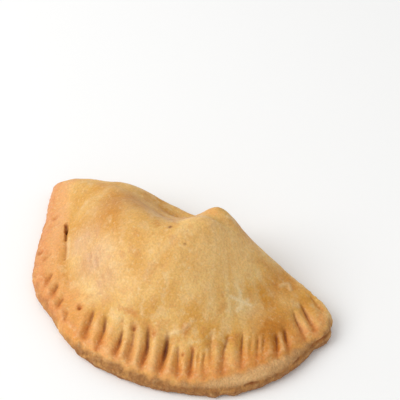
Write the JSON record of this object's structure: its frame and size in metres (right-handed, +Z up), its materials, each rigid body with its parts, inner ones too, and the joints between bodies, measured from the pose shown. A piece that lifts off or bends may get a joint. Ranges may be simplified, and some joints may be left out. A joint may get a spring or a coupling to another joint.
{
  "type": "meat pie",
  "caption": "Half-moon meat pie baked whole: a round of golden shortcrust folded over its filling, domed in the middle and sealed with fork marks around the curved edge.",
  "frame": {"origin": "middle of the pie's footprint, on the flat base it rests on", "axes": "+X along the fold, from the drawn-out end to the blunt end; +Y towards the fold, with the crimped edge facing -Y; +Z up"},
  "size_m": [0.1408, 0.0768, 0.0401],
  "materials": {
    "crust": "golden baked shortcrust with a soft egg-wash sheen, browner along the crimped edge and the base"
  },
  "bodies": {
    "root": {"pie": "crust"}
  },
  "joints": []
}
